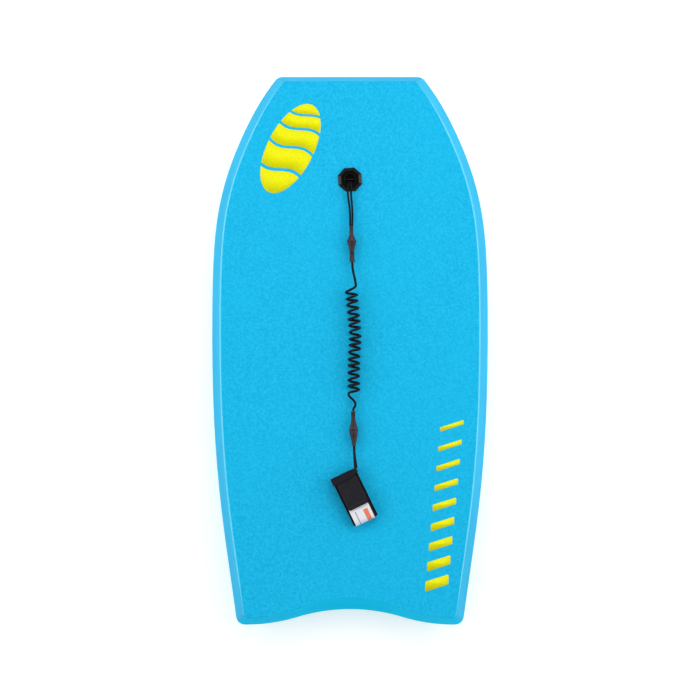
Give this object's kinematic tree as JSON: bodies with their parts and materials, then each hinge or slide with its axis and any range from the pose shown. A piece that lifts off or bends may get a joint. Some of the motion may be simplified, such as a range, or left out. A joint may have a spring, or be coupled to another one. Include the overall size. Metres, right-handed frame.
{
  "type": "bodyboard",
  "caption": "Foam bodyboard with a crescent tail, a slick underside and a coiled wrist leash plugged through the deck.",
  "frame": {"origin": "bottom centre of the board without its leash: the slick's lowest face is Z = 0", "axes": "+Y towards the nose, +Z out of the deck, +X to the right of someone looking down at the deck with the nose away"},
  "size_m": [0.473, 0.94, 0.0822],
  "materials": {
    "core_foam": "expanded bead foam",
    "deck_foam": "fine-grained foam skin",
    "rail_foam": "smooth closed foam",
    "slick_plastic": "satin sheet",
    "plug_plastic": "gloss moulded",
    "swivel_plastic": "satin moulded",
    "stainless": "turned",
    "string": "braided",
    "cord_plastic": "smooth",
    "neoprene": "fabric-faced foam rubber",
    "webbing": "woven",
    "hook_and_loop": "hook and loop",
    "label_fabric": "satin woven"
  },
  "bodies": {
    "board": {"foam_core": "core_foam", "deck_skin": "deck_foam", "slick_skin": "slick_plastic", "left_upper_rail": "rail_foam", "right_upper_rail": "rail_foam", "left_lower_rail": "rail_foam", "right_lower_rail": "rail_foam", "nose_strip": "rail_foam", "tail_strip": "rail_foam", "deck_plug": "plug_plastic", "slick_plug": "plug_plastic", "string_bar": "plug_plastic", "string_left": "string", "string_right": "string", "upper_swivel_yoke": "swivel_plastic", "upper_swivel_pin": "stainless", "cord_upper_end": "cord_plastic", "cord_coil": "cord_plastic", "cord_lower_end": "cord_plastic", "lower_swivel_pin": "stainless", "lower_swivel_yoke": "swivel_plastic", "webbing_tab": "webbing", "keeper_loop": "webbing", "cuff_pad": "neoprene", "cuff_strap": "webbing", "loop_patch": "hook_and_loop", "cuff_label": "label_fabric"},
    "upper_barrel": {"upper_swivel_barrel": "swivel_plastic"},
    "lower_barrel": {"lower_swivel_barrel": "swivel_plastic"},
    "flap": {"cuff_flap": "webbing", "hook_patch": "hook_and_loop"}
  },
  "joints": [
    {"name": "upper_swivel", "type": "hinge", "parent": "board", "child": "upper_barrel", "pos_m": [0.00284, 0.18561, 0.0681], "axis": [0.0279, -0.9996, 0], "continuous": true},
    {"name": "lower_swivel", "type": "hinge", "parent": "board", "child": "lower_barrel", "pos_m": [0.00622, -0.13549, 0.0676], "axis": [0.0279, -0.9996, 0], "continuous": true},
    {"name": "flap_peel", "type": "hinge", "parent": "board", "child": "flap", "pos_m": [-0.00479, -0.22318, 0.0794], "axis": [-0.8988, -0.4384, 0], "range_deg": [0, 120]}
  ]
}
